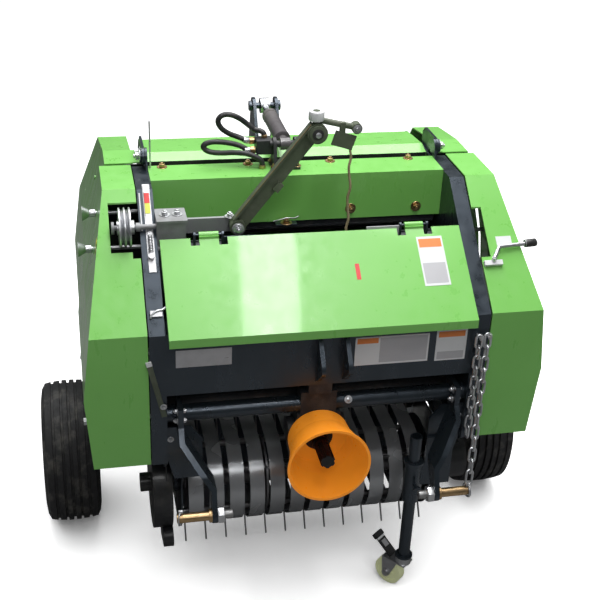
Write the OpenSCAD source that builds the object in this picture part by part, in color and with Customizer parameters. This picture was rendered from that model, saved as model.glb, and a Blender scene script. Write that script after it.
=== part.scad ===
// Mini round baler: a linkage-hung hay and straw baler on two tyres and a front caster jack
// X is across the machine, Y runs from the hitch to the tailgate, Z is up
// The origin is on the ground under the middle of the machine
// Local Y values are counted from the front panel, and place() moves them to the origin

/* [Chamber] */
// Clear width between the two side frames
chamber_width = 710; // [700:2:720]
// Thickness of the side frame plates
frame_plate = 5; // [4:1:5]
// Height of the bale chamber's centre above the ground
chamber_height = 630; // [625:5:635]
// Radius of the circle that carries the roller centres
roller_circle = 288; // [284:1:290]
// Radius of the roller tubes without their ribs
roller_tube = 34; // [30:1:36]

/* [Pickup] */
// Distance from one stripper band to the next
band_pitch = 51; // [50:0.5:51]
// Width of one stripper band
band_width = 36.5; // [34:0.5:36.5]
// Radius over the stripper bands
band_radius = 112; // [108:1:114]
// Radius of the circle that the tine tips draw
tine_reach = 157; // [150:1:158]
// Radius of one tine wire
tine_wire = 2.25; // [2:0.25:2.25]

/* [Wheels] */
// Radius of the two carrying tyres
tyre_radius = 191; // [185:1:195]
// Width of a carrying tyre
tyre_width = 145; // [135:5:145]
// Distance between the two tyres' middle planes
track = 1155; // [1140:5:1160]
// Radius of the caster wheel
caster_radius = 38; // [34:1:40]

/* [Hitch] */
// Radius of the free part of a lower link pin
link_pin_radius = 11; // [10.5:0.5:11]
// Distance from the machine's middle to a link bracket's middle
link_bracket_x = 262; // [258:1:264]
// Radius of the hole in the two top link lugs
top_link_hole = 9.6; // [9.6:0.1:13]
// Radius of the splined stub shaft over its splines
pto_radius = 17.45; // [17:0.05:17.5]
// Radius of the guard cone at its open rim
cone_rim = 95; // [90:1:98]

/* [Twine] */
// Length of the twine arm from its pivot to its head
arm_length = 291; // [280:1:295]
// Lean of the twine arm from upright
arm_lean = 37.6; // [30:0.2:40]

/* [Hidden] */
$fn = 48;
datum_y = 363;
half = chamber_width / 2;
out = half + frame_plate;
pivot = [415, 1061];
axle_y = 475;
reel = [189, 275];
chamber_y = 420;
cyl_foot = [385, 1092];
cyl_head = [665, 1095];
cyl_x = -28;
arm_pivot = [-170, 965];
slope = 40.2;
sheet = 3;

// Helpers

module place() {
    translate([0, -datum_y, 0]) children();
}

module yz(x, w) {
    translate([x, 0, 0]) rotate([90, 0, 90]) linear_extrude(height = w) children();
}

module xz(y, d) {
    translate([0, y + d, 0]) rotate([90, 0, 0]) linear_extrude(height = d) children();
}

module both() {
    children();
    mirror([1, 0, 0]) children();
}

module box(a, b) {
    translate(a) cube(b - a);
}

module rod(a, b, r) {
    v = b - a;
    l = norm(v);
    translate(a) rotate([0, acos(v[2] / l), atan2(v[1], v[0])]) cylinder(h = l, r = r);
}

module barx(x, y, z, l, r) {
    translate([x, y, z]) rotate([0, 90, 0]) cylinder(h = l, r = r);
}

module bary(x, y, z, l, r) {
    translate([x, y, z]) rotate([-90, 0, 0]) cylinder(h = l, r = r);
}

// Side frames: one plate a side with its edge folded outwards, and the tailgate's pivot ear

module frame_side() {
    yz(half, frame_plate) union() {
        polygon([[0, 465], [0, 805], [272, 1035], [417, 1035], [417, 300], [345, 300], [300, 405], [70, 405]]);
        polygon([[385, 1030], [396, 1061], [434, 1061], [417, 1030]]);
        translate(pivot) circle(r = 20);
    }
    yz(out, 31) polygon([[0, 465], [0, 805], [272, 1035], [417, 1035], [417, 1031], [273.5, 1031],
        [4, 803], [4, 465]]);
    barx(out, pivot[0], pivot[1], 12, 10);
    barx(out + 8.2, pivot[0], pivot[1], 4, 15);
}

module side_frames() {
    color("darkslategray") both() frame_side();
}

// Front panel with the two top link lugs

module front_panel() {
    color("darkslategray") {
        box([-half, 0, 650], [half, 3, 806]);
        box([-half, 3, 650], [half, 25, 653]);
        for (x = [-16, 46])
            difference() {
                yz(x, 10) hull() {
                    translate([-32, 715]) circle(r = 22);
                    translate([-2, 660]) square([2, 118]);
                }
                barx(x - 1, -32, 715, 12, top_link_hole);
            }
    }
}

// Twine box under the lid, with the lid's hinge brackets

module twine_box() {
    color("darkslategray") {
        yz(-half, chamber_width) polygon([[3, 702], [89, 702], [129, 769], [129, 841], [162, 932], [159, 933],
            [126, 842], [126, 770], [87, 705], [3, 705]]);
        both() for (x = [205.5, 269.5])
            yz(x, 5) union() {
                polygon([[155.8, 915], [162, 932], [163, 962], [177, 962], [177, 935], [165, 915]]);
                translate([170, 962]) circle(r = 7);
            }
        both() barx(205.5, 170, 962, 69, 3);
    }
}

// Hood lid: folded sheet with side cheeks and two knuckles

module hood_lid() {
    w = half - 5;
    color("yellowgreen") {
        difference() {
            yz(-w, 2 * w) polygon([[-29, 788], [-29, 808.5], [163, 958], [165, 955.6], [-26, 806.8], [-26, 788]]);
            both() for (x = [198, 262])
                box([x, 148, 900], [x + 20, 180, 990]);
        }
        both() yz(w - 3, 3) polygon([[-29, 788], [-29, 808.5], [150, 948], [150, 930], [-15, 797]]);
        both() difference() {
            union() {
                barx(218, 170, 962, 44, 7);
                box([218, 160, 953.5], [262, 168, 962]);
            }
            barx(217, 170, 962, 46, 3.06);
        }
    }
}

// Cross beam between the side frames

module cross_beam() {
    color("yellowgreen") {
        yz(-half, chamber_width) polygon([[317, 920], [317, 1037], [411, 1037], [411, 1012], [408, 1012],
            [408, 1034], [320, 1034], [320, 920]]);
        for (x = [-half, half - 3])
            box([x, 320, 940], [x + 3, 408, 1034]);
    }
}

// Front side covers: folded pans with an open inner edge, back and bottom

module cover_pan() {
    difference() {
        intersection() {
            xz(-1, 430) polygon([[394, 467], [523, 467], [537, 649], [519, 807], [468, 1038], [394, 1038]]);
            yz(380, 170) polygon([[0, 467], [0, 807], [272, 1038], [420, 1038], [420, 467]]);
        }
        intersection() {
            xz(-2, 460) polygon([[300, 440], [517.9, 440], [534, 649], [516, 806.6], [465.1, 1037.4], [460, 1060],
                [300, 1060]]);
            yz(290, 260) polygon([[3, 440], [3, 805.6], [273.1, 1035], [450, 1035], [450, 440]]);
        }
        for (p = cover_stays)
            barx(440, p[0], p[1], 110, 5.4);
    }
}

cover_stays = [[300, 970], [240, 908], [60, 560], [350, 560]];

function cover_x(z) = z < 649 ? 523 + 14 * (z - 467) / 182
    : z < 807 ? 537 - 18 * (z - 649) / 158
    : 519 - 51 * (z - 807) / 231;

module side_covers() {
    color("yellowgreen") {
        difference() {
            cover_pan();
            box([390, 108, 880], [417, 207, 1010]);
        }
        difference() {
            mirror([1, 0, 0]) cover_pan();
            translate([0, 0, 880]) linear_extrude(height = 140)
                polygon([[-458, 246], [-390, 246], [-390, 140], [-411, 140], [-411, 152], [-458, 152]]);
        }
    }
}

// Studs that carry the side covers, with hand knobs on the upper left two

module cover_bolts() {
    color("silver") {
        for (i = [0:3], s = [-1, 1]) {
            y = cover_stays[i][0];
            z = cover_stays[i][1];
            x = cover_x(z) + 2.3;
            knob = i < 2 && s < 0;
            mirror([s < 0 ? 1 : 0, 0, 0]) {
                barx(out, y, z, x - out + 6, 5);
                barx(out, y, z, 8, 9);
                if (knob) {
                    barx(x, y, z, 12, 9);
                    translate([x + 12, y, z]) rotate([0, 90, 0]) cylinder(h = 18, r1 = 8, r2 = 18);
                } else {
                    translate([x, y, z]) rotate([0, 90, 0]) cylinder(h = 7, r = 9.5, $fn = 6);
                }
            }
        }
    }
}

// Cross tube in front, in two halves between the gearbox saddle and the link brackets

module cross_tube() {
    color("darkslategray") {
        barx(-320, 32, 582, 275, 20);
        barx(40, 32, 582, 280, 20);
        both() barx(332, 32, 582, half - 332, 20);
    }
}

module gearbox() {
    color("dimgray") {
        difference() {
            union() {
                box([-52, 12, 440], [52, 90, 562]);
                box([-45, 12, 560], [40, 54, 622]);
                bary(0, 4, 500, 10, 34);
                barx(-70, 50, 500, 140, 30);
            }
            bary(0, -1, 500, 33, 20.05);
        }
        box([-30, 54, 590], [25, 60, 650]);
        box([-30, 3, 622], [25, 60, 650]);
    }
}

module pto_shaft() {
    color("gray") {
        bary(0, -25, 500, 55, 20);
        bary(0, -95, 500, 70, 14.9);
        intersection() {
            bary(0, -95, 500, 70, pto_radius);
            union() {
                for (a = [0:60:300])
                    translate([0, 0, 500]) rotate([0, a, 0]) box([-4.3, -95, 10], [4.3, -35, pto_radius + 1]);
                bary(0, -40, 500, 15, pto_radius + 1);
            }
        }
    }
}

module pto_cone() {
    color("orange") translate([0, 0, 500]) rotate([90, 0, 0]) rotate_extrude($fn = 64)
        polygon([[34.3, -10], [73, -10], [76, 35], [78, 42], [cone_rim - 1, 106], [cone_rim + 2, 108], [cone_rim + 2, 111],
            [cone_rim - 4, 111], [75, 43], [73, 36], [70, -7], [34.3, -7]]);
}

// Lower link brackets: bent flat bars with an eye, and the plates behind them

module bracket() {
    difference() {
        union() {
            intersection() {
                xz(-140, 210) polygon([[320, 622], [320, 547], [256, 457], [256, 350], [268, 350], [268, 453],
                    [332, 543], [332, 622]]);
                yz(240, 110) union() {
                    hull() {
                        translate([-110, 392]) circle(r = 18);
                        translate([-70, 470]) circle(r = 25);
                    }
                    hull() {
                        translate([-70, 470]) circle(r = 25);
                        translate([5, 565]) circle(r = 25);
                    }
                    translate([-20, 560]) square([72, 62]);
                }
            }
            xz(12, 6) polygon([[274, 412], [340, 412], [half, 470], [half, 556], [300, 556], [274, 520]]);
        }
        barx(250, -110, 392, 30, 10.05);
    }
}

module link_brackets() {
    color("slategray") both() bracket();
}

module link_pin() {
    barx(222, -110, 392, 48.3, 10);
    translate([240.7, -110, 392]) rotate([0, 90, 0]) cylinder(h = 15, r = 17, $fn = 6);
    barx(268.3, -110, 392, 6, 16);
    difference() {
        barx(274.3, -110, 392, 72.7, link_pin_radius);
        rod([339, -110, 370], [339, -110, 414], 2.7);
    }
}

module link_pins() {
    color("goldenrod") both() link_pin();
}

// Check chain: one strand to the right pin's ring, one strand hanging free

chain_top = [385, -11.4, 754.6];
chain_low = [342, -110, 417.5];

module chain_link() {
    for (s = [-1, 1]) {
        translate([s * 7.5, 0, -9.5]) cylinder(h = 19, r = 3, $fn = 16);
        translate([0, 0, s * 9.5]) rotate([0, s < 0 ? 180 : 0, 0]) rotate([90, 0, 0])
            rotate_extrude(angle = 180, $fn = 24) translate([7.5, 0]) circle(r = 3, $fn = 16);
    }
}

module strand(a, v, n) {
    u = v / norm(v);
    for (i = [0:n - 1])
        translate(a + u * 27.7 * i) rotate([0, acos(u[2]), atan2(u[1], u[0])]) rotate([0, 0, -atan2(u[1], u[0]) + 90 * (i % 2)])
            chain_link();
}

module check_chain() {
    v = chain_top - chain_low;
    color("silver") {
        strand(chain_low + v / norm(v) * 10.7, v, 13);
        strand([362.5, -16, 743.9], [0, 0, -1], 10);
        rod([339, -110, 378], [339, -110, 409], 2.5);
        rod([336, -110, 409], [342, -110, 409], 5);
        translate([342.5, -110, 392]) rotate([0, 90, 0]) rotate_extrude() translate([15, 0]) circle(r = 2.2, $fn = 16);
        for (x = [chain_top[0], 362.5]) {
            bary(x, -26, chain_top[2], 26, 3);
            translate([x, -26, chain_top[2]]) cylinder(h = 12, r = 3);
        }
    }
}

// Jack: socket on the right link bracket's plate, sliding leg, swivelling caster

module jack_socket() {
    color("darkslategray") {
        difference() {
            union() {
                translate([245, 8, 285]) cylinder(h = 119, r = 20);
                translate([245, 8, 396]) cylinder(h = 8, r = 24);
                box([258, 4, 330], [300, 12, 396]);
                box([272, 4, 330], [340, 12, 470]);
                bary(245, -34, 345, 26, 5);
            }
            translate([245, 8, 280]) cylinder(h = 130, r = 15.1);
        }
        bary(245, -40, 345, 6, 11);
    }
}

module jack_leg() {
    color("darkslategray") difference() {
        union() {
            translate([245, 8, 104.3]) cylinder(h = 5.7, r = 22);
            translate([245, 8, 109]) cylinder(h = 366, r = 15);
            translate([245, 8, 90]) cylinder(h = 16, r = 6);
        }
        translate([245, 8, 410]) cylinder(h = 70, r = 11.5);
    }
}

module caster_frame() {
    translate([245, 8, 0]) rotate([0, 0, -50]) children();
}

module caster_fork() {
    color("silver") caster_frame() {
        difference() {
            union() {
                translate([0, 0, 84]) cylinder(h = 20, r = 20);
                box([-52, -20, 82], [16, 20, 86]);
            }
            translate([0, 0, 88]) cylinder(h = 20, r = 6.06);
        }
        for (y = [-20, 17])
            xz(y, 3) hull() {
                translate([-37, 38]) circle(r = 11);
                translate([-52, 80]) square([44, 3]);
            }
        bary(-37, -24, 38, 48, 5);
        for (y = [-25, 20])
            bary(-37, y, 38, 5, 9);
    }
}

module caster_wheel() {
    color("palegoldenrod") caster_frame() difference() {
        union() {
            bary(-37, -11, 38, 22, caster_radius);
            bary(-37, -14, 38, 28, 13);
        }
        bary(-37, -15, 38, 30, 5.06);
        for (y = [-12, 7])
            difference() {
                bary(-37, y, 38, 5, caster_radius - 8);
                bary(-37, y - 1, 38, 7, 14);
            }
    }
}

module caster_brake() {
    color("black") caster_frame() translate([-34, 0, 86.3]) rotate([0, 38, 0]) {
        box([-64, -13, 0], [0, 13, 6]);
        box([-70, -15, -3], [-56, 15, 9]);
    }
}

// Pickup frame: end plates, the cross strip above the arms and the tube behind the reel

module pickup_frame() {
    color("darkslategray") {
        both() difference() {
            union() {
                yz(314, 4) union() {
                    hull() {
                        translate(reel) circle(r = 118);
                        translate([350, 160]) square([34, 34]);
                    }
                    polygon([[18.3, 532], [60, 545], [95, 545], [95, 420], [150, 380], [85, 320], [18.3, 470]]);
                }
                box([318, 58, 480], [half, 95, 520]);
                barx(318, reel[0], reel[1], 8, 30);
            }
            barx(300, reel[0], reel[1], 40, 12.06);
        }
        box([-half, 312, 387], [half, 340, 391]);
        box([-314, 350, 160], [314, 380, 190]);
    }
}

module band() {
    difference() {
        barx(-band_width / 2, reel[0], reel[1], band_width, band_radius);
        barx(-band_width, reel[0], reel[1], 2 * band_width, band_radius - sheet);
        box([-band_width, reel[0], 0], [band_width, reel[0] + 200, 500]);
    }
    z = reel[1] + band_radius;
    box([-band_width / 2, reel[0], z - sheet], [band_width / 2, 342, z]);
    box([-band_width / 2, reel[0], reel[1] - band_radius], [band_width / 2, 350, reel[1] - band_radius + sheet]);
}

module stripper_bands() {
    color("lightslategray") for (i = [0:11])
        translate([(i - 5.5) * band_pitch, 0, 0]) band();
}

module pickup_reel() {
    color("gray") translate([0, reel[0], reel[1]]) {
        barx(-331, 0, 0, 662, 12);
        barx(-300, 0, 0, 600, 26);
        for (x = [-296, -101, 96, 291])
            barx(x, 0, 0, 5, 95);
        for (a = [45:90:315])
            rotate([a, 0, 0]) {
                barx(-308.5, 82, 0, 617, 8);
                for (i = [-6:6])
                    rod([i * band_pitch, 80, 0], [i * band_pitch, 156, 14], tine_wire);
            }
    }
}

// Guards at the reel's two ends, with the skid shoe on the left

module drive_guards() {
    color("black") {
        difference() {
            union() {
                barx(-384, reel[0], reel[1], 47, 116);
                barx(-410, reel[0], reel[1], 27, 24);
                box([-384, 150, 370], [-out, 230, 445]);
            }
            barx(-out - 0.2, reel[0], reel[1], 40, 108);
        }
        yz(-362, 25) difference() {
            hull() {
                translate([100, 168]) circle(r = 26);
                translate([165, 150]) circle(r = 26);
                translate([200, 170]) circle(r = 20);
            }
            translate(reel) circle(r = 116);
        }
        barx(337, reel[0], reel[1], 100, 60);
        box([out, 165, 320], [372, 215, 445]);
    }
}

// Chamber rollers: ribbed steel tubes on a circle round the bale

module roller(a) {
    translate([0, chamber_y + roller_circle * cos(a), chamber_height + roller_circle * sin(a)]) {
        barx(-half + 5, 0, 0, chamber_width - 10, roller_tube);
        barx(-half, 0, 0, chamber_width, 14);
        for (b = [0:60:300])
            rotate([b, 0, 0]) box([-half + 6, -2, roller_tube - 1], [half - 6, 2, roller_tube + 4]);
    }
}

module chamber_rollers() {
    color("gray") for (a = [100, 124, 148, 172, 196, 262])
        roller(a);
}

module tailgate_rollers() {
    color("gray") for (a = [76, 52, 28, 4, -20, -44, -68])
        roller(a);
}

// Axle arms with their stub axles

module axle_arms() {
    color("darkslategray") both() {
        box([out, 310, 425], [out + 6, 408, 520]);
        yz(out + 6, 12) hull() {
            translate([310, 425]) square([98, 95]);
            translate([axle_y, tyre_radius]) circle(r = 32);
        }
        barx(out + 17, axle_y, tyre_radius, 492 - out - 17, 24);
        barx(490, axle_y, tyre_radius, 139.2, 15);
    }
}

module tyre() {
    w = tyre_width / 2;
    r = tyre_radius;
    color("black") rotate([0, 90, 0]) rotate_extrude($fn = 96) polygon([[80, -54], [92, -54], [104, -w + 7], [122, -w],
        [150, -w], [170, -w + 3], [r - 6, -w + 11], [r - 3, -46], [r - 8, -45], [r - 8, -39], [r - 2, -38],
        [r - 1, -23], [r - 8, -22], [r - 8, -17], [r, -16], [r, -4], [r - 8, -3], [r - 8, 3], [r, 4], [r, 16],
        [r - 8, 17], [r - 8, 22], [r - 1, 23], [r - 2, 38], [r - 8, 39], [r - 8, 45], [r - 3, 46], [r - 6, w - 11],
        [170, w - 3], [150, w], [122, w], [104, w - 7], [92, 54], [80, 54]]);
}

module rim() {
    color("silver") rotate([0, 90, 0]) rotate_extrude($fn = 96) polygon([[15.06, -78], [35, -78], [35, -26], [42, -17],
        [72, -17], [72, -55], [75, -58], [90, -58], [90, -54.3], [79.7, -54.3], [79.7, 54.3], [90, 54.3],
        [90, 58], [75, 58], [72, 55], [72, -12], [40, -12], [30, -20], [30, 52], [15.06, 52]]);
    color("silver") barx(52, 0, 0, 6, 30);
}

module at_wheel(s) {
    translate([s * track / 2, axle_y, tyre_radius]) scale([1, 1, 1]) mirror([s < 0 ? 1 : 0, 0, 0]) children();
}

// Tailgate: side walls with hinge straps, the cylinder's lever, skin, covers

module tailgate_side() {
    yz(half, frame_plate) polygon([[425, 300], [425, 1030], [495, 1036], [640, 1022], [790, 850], [790, 480],
        [660, 320], [640, 300]]);
    difference() {
        union() {
            yz(out + 1, 6) union() {
                translate(pivot) circle(r = 20);
                polygon([[415, 1041], [415, 1081], [500, 1081], [515, 1066], [515, 960], [455, 960], [455, 1041]]);
            }
            yz(out, 1) polygon([[455, 960], [455, 1020], [510, 1020], [510, 960]]);
        }
        barx(out - 1, pivot[0], pivot[1], 12, 10.06);
    }
}

module tailgate_frame() {
    color("darkslategray") {
        both() tailgate_side();
        for (x = [cyl_x - 33, cyl_x + 25])
            yz(x, 8) polygon([[598, 1030.5], [620, 1028.4], [720, 923.7], [684, 1108], [674, 1116], [656, 1116], [646, 1108]]);
        barx(cyl_x - 40, cyl_head[0], cyl_head[1], 80, 8);
        for (x = [cyl_x - 41, cyl_x + 35])
            barx(x, cyl_head[0], cyl_head[1], 6, 13);
    }
}

module tailgate_skin() {
    color("yellowgreen") yz(-half, chamber_width) polygon([[455, 1012], [455, 1030], [495, 1040], [620, 1028],
        [790, 850], [790, 480], [660, 320], [657.7, 321.9], [787, 481], [787, 848.8], [618.6, 1025.1],
        [495.2, 1036.9], [458, 1027.7], [458, 1012]]);
}

module tailgate_pan() {
    difference() {
        intersection() {
            xz(420, 440) polygon([[388, 467], [520, 467], [534, 649], [513, 807], [455, 1041], [388, 1041]]);
            yz(380, 170) polygon([[425, 467], [425, 1041], [515, 1041], [680, 1017], [854, 811], [854, 467]]);
        }
        intersection() {
            xz(400, 480) polygon([[300, 440], [515, 440], [531, 649], [510, 806.6], [452.1, 1040.4], [447, 1065],
                [300, 1065]]);
            yz(290, 260) polygon([[400, 440], [400, 1038], [514.8, 1038], [678.5, 1014.2], [851, 810], [851, 440]]);
        }
    }
    for (p = [[545, 960], [470, 560], [760, 560], [700, 860]]) {
        x = cover_x(p[1]) - 8;
        barx(out, p[0], p[1], x - out, 5);
    }
    xz(428, 84) polygon([[369, 1038], [369, 1041], [388.1, 1041], [388.1, 1038]]);
}

module tailgate_covers() {
    color("yellowgreen") both() tailgate_pan();
}

// Tailgate cylinder: bracket on the beam, barrel, rod with its eye

module cylinder_bracket() {
    color("dimgray") {
        box([cyl_x - 34, 352, 1037], [cyl_x + 34, 410, 1043]);
        for (x = [cyl_x - 30, cyl_x + 22])
            yz(x, 8) hull() {
                translate(cyl_foot) circle(r = 16);
                translate([356, 1043]) square([50, 2]);
            }
        barx(cyl_x - 36, cyl_foot[0], cyl_foot[1], 72, 8);
        box([-96, 384, 1066], [cyl_x - 30, 420, 1100]);
    }
}

module cyl_frame() {
    d = cyl_head - cyl_foot;
    translate([cyl_x, cyl_foot[0], cyl_foot[1]]) rotate([atan2(d[1], d[0]), 0, 0]) children();
}

module cylinder_barrel() {
    color("black") cyl_frame() difference() {
        union() {
            barx(-12, 0, 0, 24, 15);
            bary(0, 12, 0, 22, 12);
            bary(0, 28, 0, 172, 19);
            bary(0, 30, 0, 14, 20);
            bary(0, 186, 0, 14, 20);
        }
        barx(-13, 0, 0, 26, 8.06);
        bary(0, 40, 0, 161, 9.06);
    }
}

module cylinder_rod() {
    l = norm(cyl_head - cyl_foot);
    color("silver") cyl_frame() difference() {
        union() {
            bary(0, 105, 0, l - 105 - 12, 9);
            barx(-12, l, 0, 24, 20);
        }
        barx(-13, l, 0, 26, 14.3);
    }
}

// Hoses: tubes swept along hand-set routes

hose_loop = [[-96.3, 412, 1092], [-113, 412, 1092], [-135, 418, 1100], [-158, 420, 1109], [-176, 421, 1122], [-184, 422, 1137],
    [-180, 423, 1149], [-167, 424, 1155], [-150, 424, 1153], [-130, 424, 1143], [-112, 423, 1129], [-96, 421, 1117],
    [-84, 416, 1115], [-77, 412, 1112], [-74, 410, 1106], [-74, 410, 1100.3]];
hose_turn = [[-96.3, 394, 1075], [-113, 394, 1075], [-140, 400, 1087], [-170, 403, 1093], [-195, 404, 1095], [-213, 404, 1092],
    [-222, 403, 1085], [-216, 401, 1076], [-202, 398, 1071], [-178, 394, 1070], [-150, 388, 1072], [-120, 380, 1071],
    [-98, 374, 1064], [-87, 371, 1056], [-84, 370, 1046], [-84, 370, 1037.3]];

function unit(v) = v / norm(v);
function tangent(p, i) = unit(p[min(i + 1, len(p) - 1)] - p[max(i - 1, 0)]);
function side_of(t) = unit(cross(t, abs(t[1]) < 0.9 ? [0, 1, 0] : [1, 0, 0]));
function ring(p, i, r, n) = let (t = tangent(p, i), s = side_of(t), u = cross(s, t))
    [for (k = [0:n - 1]) p[i] + r * (cos(360 * k / n) * s + sin(360 * k / n) * u)];

module tube(p, r, n) {
    m = len(p);
    pts = [for (i = [0:m - 1]) each ring(p, i, r, n)];
    sides = [for (i = [0:m - 2], k = [0:n - 1]) [i * n + k, i * n + (k + 1) % n, (i + 1) * n + (k + 1) % n, (i + 1) * n + k]];
    caps = [[for (k = [n - 1:-1:0]) k], [for (k = [0:n - 1]) (m - 1) * n + k]];
    polyhedron(points = pts, faces = concat(sides, caps), convexity = 6);
}

module hydraulic_hoses() {
    color("black") {
        tube(hose_loop, 6.5, 10);
        tube(hose_turn, 6.5, 10);
    }
}

// Twine gear: motor box and lever with the arm's pivot pin, sheave axle outside the frame

module twine_motor() {
    color("gray") {
        box([-half, 176, 936], [-290, 240, 992]);
        box([-half, 172, 992], [-286, 244, 998]);
        box([-296, 219, 945], [-155, 227, 980]);
        bary(arm_pivot[0], 184, arm_pivot[1], 42, 8);
        bary(arm_pivot[0], 182, arm_pivot[1], 5, 14);
        barx(-448, 188, 980, 448 - half, 6);
        barx(-400, 188, 980, 10, 10);
        barx(-454, 188, 980, 6, 14);
    }
}

module arm_frame() {
    translate([arm_pivot[0], 0, arm_pivot[1]]) rotate([0, arm_lean, 0]) children();
}

module twine_arm() {
    color("darkolivegreen") {
        difference() {
            union() {
                arm_frame() {
                    bary(0, 190, 0, 26, 18);
                    box([-20, 206, 0], [20, 211, arm_length]);
                    box([-20, 192, 8], [-15, 208, arm_length]);
                    box([8, 196, 118], [24, 206, 140]);
                    bary(4, 181, arm_length - 10, 30, 10);
                }
            }
            bary(arm_pivot[0], 180, arm_pivot[1], 60, 8.06);
        }
        arm_frame() {
            bary(4, 184, arm_length - 10, 14, 23);
            translate([-6, 200, arm_length]) rotate([0, -arm_lean, 0]) {
                cylinder(h = 36, r = 8);
                translate([0, 0, 14]) cylinder(h = 20, r = 14);
            }
        }
        rod([6, 204, 1212.8], [96, 204, 1192], 7);
        translate([48, 196, 1184]) rotate([0, 17, 0]) box([0, 0, -30], [50, 5, 4]);
        box([58, 196, 1170], [70, 206, 1206]);
        bary(96, 192, 1192, 22, 12);
    }
}

twine_route = [[84, 198.5, 1141], [85, 199, 1120], [87, 200, 1080], [88, 201, 1040], [88, 202, 1000], [89, 203, 960], [90, 203, 925]];

module twine() {
    color("tan") tube(twine_route, 1.8, 8);
}

module twine_sheave() {
    color("silver") translate([-426, 188, 980]) rotate([0, 90, 0]) rotate_extrude() polygon([[6.06, -16], [16, -16],
        [16, -12], [45, -12], [45, -9], [34, -4], [45, 0], [45, 2], [34, 7], [45, 11], [45, 14], [16, 14], [16, 22], [6.06, 22]]);
}

// Gauge strip on the left frame's slope and the upright pointer

module on_slope(x) {
    translate([x, 0, 805]) rotate([slope, 0, 0]) children();
}

module bale_gauge() {
    color("silver") {
        on_slope(-370) {
            box([-8, 150, 0.2], [8, 368, 2.5]);
            box([-6, 290, 2.5], [6, 364, 6]);
            box([-5, 240, 2.5], [5, 290, 5]);
            translate([0, 196, 6]) rotate([-90, 0, 0]) cylinder(h = 44, r = 3.5);
            translate([0, 186, 2.5]) cylinder(h = 9, r = 7);
            box([-14, 44, 0.2], [12, 58, 6]);
        }
        box([-350, 398, 1037], [-347, 408, 1152]);
    }
}

// Crank on the right cover

module crank_handle() {
    color("black") {
        on_slope(418) translate([0, 0, 2.3]) box([-22, 118, 0], [22, 130, 9]);
        rod([418, 92, 892], [418, 88, 906], 5);
        rod([418, 88, 904], [440, 118, 920], 5);
        rod([438, 116, 919], [508, 122, 921], 5);
        rod([504, 122, 921], [533, 124, 922], 9);
    }
}

place() side_frames();
place() front_panel();
place() twine_box();
place() hood_lid();
place() cross_beam();
place() side_covers();
place() cover_bolts();
place() cross_tube();
place() gearbox();
place() pto_shaft();
place() pto_cone();
place() link_brackets();
place() link_pins();
place() check_chain();
place() jack_socket();
place() jack_leg();
place() caster_fork();
place() caster_wheel();
place() caster_brake();
place() pickup_frame();
place() stripper_bands();
place() pickup_reel();
place() drive_guards();
place() chamber_rollers();
place() axle_arms();
place() at_wheel(-1) tyre();  // tyre_left
place() at_wheel(-1) rim();  // rim_left
place() at_wheel(1) tyre();  // tyre_right
place() at_wheel(1) rim();  // rim_right
place() tailgate_frame();
place() tailgate_skin();
place() tailgate_covers();
place() tailgate_rollers();
place() cylinder_bracket();
place() cylinder_barrel();
place() cylinder_rod();
place() hydraulic_hoses();
place() twine_motor();
place() twine_arm();
place() twine();
place() twine_sheave();
place() bale_gauge();
place() crank_handle();
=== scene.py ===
import math
import bpy
from mathutils import Matrix, Vector


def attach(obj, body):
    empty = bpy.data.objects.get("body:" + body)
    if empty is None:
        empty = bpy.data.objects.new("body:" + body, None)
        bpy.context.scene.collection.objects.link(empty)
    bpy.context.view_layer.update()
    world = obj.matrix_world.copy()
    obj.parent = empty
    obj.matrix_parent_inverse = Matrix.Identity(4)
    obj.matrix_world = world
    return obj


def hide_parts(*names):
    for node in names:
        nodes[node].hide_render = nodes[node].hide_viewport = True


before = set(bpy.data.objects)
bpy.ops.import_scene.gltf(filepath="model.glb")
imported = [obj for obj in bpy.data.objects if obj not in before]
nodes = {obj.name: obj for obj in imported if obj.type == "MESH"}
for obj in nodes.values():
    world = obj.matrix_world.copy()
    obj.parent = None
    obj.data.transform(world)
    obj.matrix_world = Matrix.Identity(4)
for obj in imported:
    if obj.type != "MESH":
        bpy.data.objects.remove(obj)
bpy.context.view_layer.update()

# The frame is in metres. The source counts Y from the front panel, so FRONT moves a place to the frame
FRONT = -0.363
SIDES = ((-1, "left"), (1, "right"))


def at(x, y, z):
    """A place given in millimetres, with Y counted from the front panel."""
    return Vector((x / 1000.0, y / 1000.0 + FRONT, z / 1000.0))


# Camera, as fitted to the photo

CAMERA_PLACE = (-0.5356, -2.4295, 2.0029)
CAMERA_TURN = (61.9247, -2.3297, -11.6879)
FOCAL_LENGTH = 66.0
SENSOR_WIDTH = 36.0


def set_camera():
    """The photo's camera, in metres, degrees and millimetres of focal length."""
    data = bpy.data.cameras.new("photo_camera")
    data.sensor_width = SENSOR_WIDTH
    data.lens = FOCAL_LENGTH
    data.clip_end = 60.0
    camera = bpy.data.objects.new("photo_camera", data)
    camera.location = CAMERA_PLACE
    camera.rotation_euler = [math.radians(angle) for angle in CAMERA_TURN]
    bpy.context.collection.objects.link(camera)
    bpy.context.scene.camera = camera


# Studio: white surround, paper floor and soft lights

SKY_LIGHT = 0.1
PAPER_BOUNCE = 0.26
SHADE_REACH = 0.6
SHADE_OPENNESS = (0.25, 0.62)
SHADE_GLOW = (0.12, 0.93)

# Name, place, target, size, strength, and the other size where it is set
LAMPS = (
    ("overhead", (0.2, 0.9, 3.6), (0.0, 0.1, 0.6), 3.0, 142.0, 3.0),
    ("streak", (0.27, -0.8, 3.05), (0.27, -0.3, 0.9), 0.25, 22.0, 1.5),
    ("front_fill", (-0.3, -2.45, 2.7), (0.0, -0.2, 0.35), 1.2, 15.0, 0.7),
    ("right_fill", (3.2, -1.6, 1.8), (0.3, 0.0, 0.5), 2.0, 6.0, None),
)


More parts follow.
